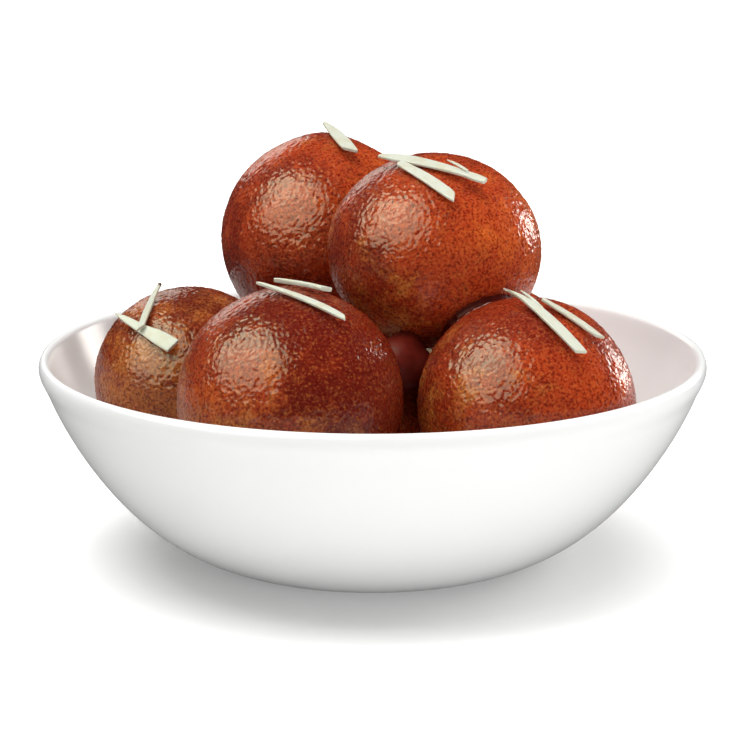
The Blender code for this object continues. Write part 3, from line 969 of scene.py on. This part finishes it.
sliverMake = {
    "lengthSteps": 56,
    "roundSteps": 24,
    "squareness": 4.6,          # 2 is an oval cross-section, more is squarer
    "thinness": 0.94,           # of the frame sliver's thickness
    "thinEnd": 0.35,            # an end without width keeps this much of the thickness
    "fullWidth": 0.0005,        # half of the width at which the thickness is whole
    "widen": 1.28,
    "swayPower": 6,             # how near its end a sway or a slant stays
    "slantPower": 8,
    "roughCut": 0.00005,        # how far the cut sides waver
    "roughFace": 0.6,           # of that, on the two faces
    "roughAlong": 9.0,          # noise steps along a sliver and from one side point to the next
    "roughAround": 0.35,
    "cutEdges": ((0.86, 0.25), (0.45, 0.30)),   # size and push of the rings that close a cut end
    "seedStep": 3.7,            # keeps each sliver's waver its own
    "splinterSeed": 1.3,
    "splinterThickness": 0.00034,
    "splinterShape": {"sway": (0.0, 0.0), "slants": (0.0, 0.2), "twist": 0.0, "bend": 0.15},
    "flesh": (0.57, 0.59, 0.50),
    "fleshWarm": (0.53, 0.51, 0.38),
    "toasted": (0.10, 0.045, 0.02),
    "fibreStretch": (260.0, 3000.0, 1.0),
    "cloudScale": 330.0,
    "cloudFade": (0.42, 0.70),
    "cloudMost": 0.8,
    "streakFade": (0.30, 0.52),
    "streakMost": 0.45,
    "toastFade": (0.15, 0.6),
    "roughness": 0.30,
    "roughnessSpread": 0.25,
    "fibreDepth": 0.00005,
    "fibreStrength": 0.8,
    "shader": {
        "Subsurface Weight": 0.35,
        "Subsurface Radius": (1.0, 0.85, 0.55),
        "Subsurface Scale": 0.0006,
    },
}


# A frame sliver's middle, its three axes (along, across, outward) and its length and thickness.
def sliverAxes(name, ballName):
    corners = np.unique(np.round([v.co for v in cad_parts[name].data.vertices], 7), axis=0)
    low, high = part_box(ballName)
    middle = corners.mean(axis=0)
    directions = np.linalg.svd(corners - middle)[2]
    along = directions[0]
    away = middle - np.array((low + high) / 2.0)
    outward = max(directions[1:], key=lambda d: abs(np.dot(d, away)))
    outward = outward * np.sign(np.dot(outward, away))
    reach = (corners - middle) @ along
    across = np.cross(outward, along)
    spread = np.abs((corners - middle) @ across)
    if spread[reach < 0].max() > spread[reach > 0].max():
        along, across = -along, -across
    depth = (corners - middle) @ outward
    return middle, along, across, outward, np.ptp(reach), np.ptp(depth)


# One cut sliver as rings of points along it, in its own frame.
def sliverRings(outline, length, thickness, shape, seed):
    stations = smoothLine(np.array(outline, dtype=float), sliverMake["lengthSteps"])
    angles = np.linspace(0.0, math.tau, sliverMake["roundSteps"], endpoint=False)
    power = 2.0 / sliverMake["squareness"]
    side = np.sign(np.cos(angles)) * np.abs(np.cos(angles)) ** power
    face = np.sign(np.sin(angles)) * np.abs(np.sin(angles)) ** power
    rings = []

    # a bend at either end that dies away towards the middle
    def atEnds(t, pair, steepness):
        return mm * (pair[0] * (1.0 - t) ** steepness + pair[1] * t ** steepness)

    for t, lower, upper in stations:
        t = min(max(t, 0.0), 1.0)
        half = (upper - lower) / 2.0 * mm * sliverMake["widen"]
        middle = (upper + lower) / 2.0 * mm + atEnds(t, shape["sway"], sliverMake["swayPower"])
        slant = atEnds(t, shape["slants"], sliverMake["slantPower"])
        thin = thickness * min(1.0, sliverMake["thinEnd"] + half / sliverMake["fullWidth"])
        turn = math.radians(shape["twist"]) * (t - 0.5)
        drop = -shape["bend"] * mm * (2.0 * t - 1.0) ** 2
        ring = []
        for index, (s, f) in enumerate(zip(side, face)):
            spot = Vector((t * sliverMake["roughAlong"], index * sliverMake["roughAround"], seed))
            waver = noise.noise(spot) * sliverMake["roughCut"]
            y, z = s * (half + waver), f * (thin / 2.0 + waver * sliverMake["roughFace"])
            ring.append(((t - 0.5) * length + slant * s,
                         middle + y * math.cos(turn) - z * math.sin(turn),
                         drop + y * math.sin(turn) + z * math.cos(turn), t))
        rings.append(ring)
    for end, neighbour in ((0, 1), (-1, -2)):      # the cut faces, turned in a little at their edges
        ring = np.array(rings[end])
        heart = ring.mean(axis=0)
        push = (ring[:, 0] - np.array(rings[neighbour])[:, 0]).mean()
        for scale, out in sliverMake["cutEdges"]:
            inner = heart + (ring - heart) * scale
            inner[:, 0] += push * out
            rings.insert(0 if end == 0 else len(rings), [tuple(point) for point in inner])
    return rings


# A splinter's rings, moved to where it leaves its sliver.
def splinterRings(splinter, length, seed):
    (t0, y0, z0), (t1, y1, z1) = splinter["start"], splinter["end"]
    half = splinter["width"] / 2.0
    reach = Vector(((t1 - t0) * length, (y1 - y0) * mm, (z1 - z0) * mm))
    outline = [(0.0, -0.06, 0.06), (0.3, -half, half), (0.8, -half, half), (1.0, -half * 0.7, half * 0.7)]
    thickness = sliverMake["splinterThickness"]
    rings = sliverRings(outline, reach.length, thickness, sliverMake["splinterShape"], seed)
    turn = reach.to_track_quat("X", "Z").to_matrix()
    heart = Vector((((t0 + t1) / 2.0 - 0.5) * length, (y0 + y1) / 2.0 * mm, (z0 + z1) / 2.0 * mm))
    return [[(*(turn @ Vector(point[:3]) + heart), 0.5) for point in ring] for ring in rings]


def makeSliver(name, material):
    shape = {"sway": (0.0, 0.0), "toast": 0.0, "splinters": [], **sliverShapes[name]}
    middle, along, across, outward, length, depth = sliverAxes(name, shape["ball"])
    seed = sliverMake["seedStep"] * slivers.index(name)
    parts = [sliverRings(shape["outline"], length, depth * sliverMake["thinness"], shape, seed)]
    splinterSeed = seed + sliverMake["splinterSeed"]
    parts += [splinterRings(splinter, length, splinterSeed) for splinter in shape["splinters"]]
    shell = bmesh.new()
    toast = shell.verts.layers.float.new("toast")
    grain = shell.loops.layers.uv.new("grain")
    flat = {}
    for rings in parts:
        rows = []
        for ring in rings:
            row = []
            for x, y, z, t in ring:
                vertex = shell.verts.new(Vector(middle + along * x + across * y + outward * z))
                vertex[toast] = max(0.0, 1.0 - t / shape["toast"]) if shape["toast"] else 0.0
                flat[vertex] = (x, y + z)
                row.append(vertex)
            rows.append(row)
        for first, second in zip(rows, rows[1:]):
            joinRows(shell, first, second)
        shell.faces.new(rows[0][::-1])
        shell.faces.new(rows[-1])
    for face in shell.faces:
        for loop in face.loops:
            loop[grain].uv = flat[loop.vert]
    finishPiece(meshObject(name + "_cut", shell, material), "almond", name)


def almondFlesh():
    material, tree, shader = newMaterial("almondFlesh")
    lie = addNode(tree, "ShaderNodeTexCoord").outputs["UV"]
    stretched = addNode(tree, "ShaderNodeMapping", {"Vector": lie, "Scale": sliverMake["fibreStretch"]})
    fibre = noiseNode(tree, stretched.outputs[0], 1.0, 3.0, 0.6)
    where = placeNode(tree)
    cloud = noiseNode(tree, where, sliverMake["cloudScale"], 3.0)
    warm = fadeNode(tree, cloud, sliverMake["cloudFade"], 0.0, sliverMake["cloudMost"])
    colour = mixColour(tree, warm, sliverMake["flesh"], sliverMake["fleshWarm"])
    streak = fadeNode(tree, fibre, sliverMake["streakFade"], sliverMake["streakMost"], 0.0)
    colour = mixColour(tree, streak, colour, sliverMake["fleshWarm"])
    toast = addNode(tree, "ShaderNodeAttribute", attribute_name="toast").outputs["Fac"]
    toasted = fadeNode(tree, toast, sliverMake["toastFade"])
    colour = mixColour(tree, toasted, colour, sliverMake["toasted"])
    rough = mathNode(tree, "MULTIPLY_ADD", fibre, sliverMake["roughnessSpread"], sliverMake["roughness"])
    setInputs(shader, {
        "Base Color": colour,
        "Roughness": rough,
        "Normal": bumpNode(tree, fibre, sliverMake["fibreDepth"], sliverMake["fibreStrength"]),
        **sliverMake["shader"],
    })
    return material


flesh = almondFlesh()
for sliverName in slivers:
    makeSliver(sliverName, flesh)
print("the almonds are cut and scattered")
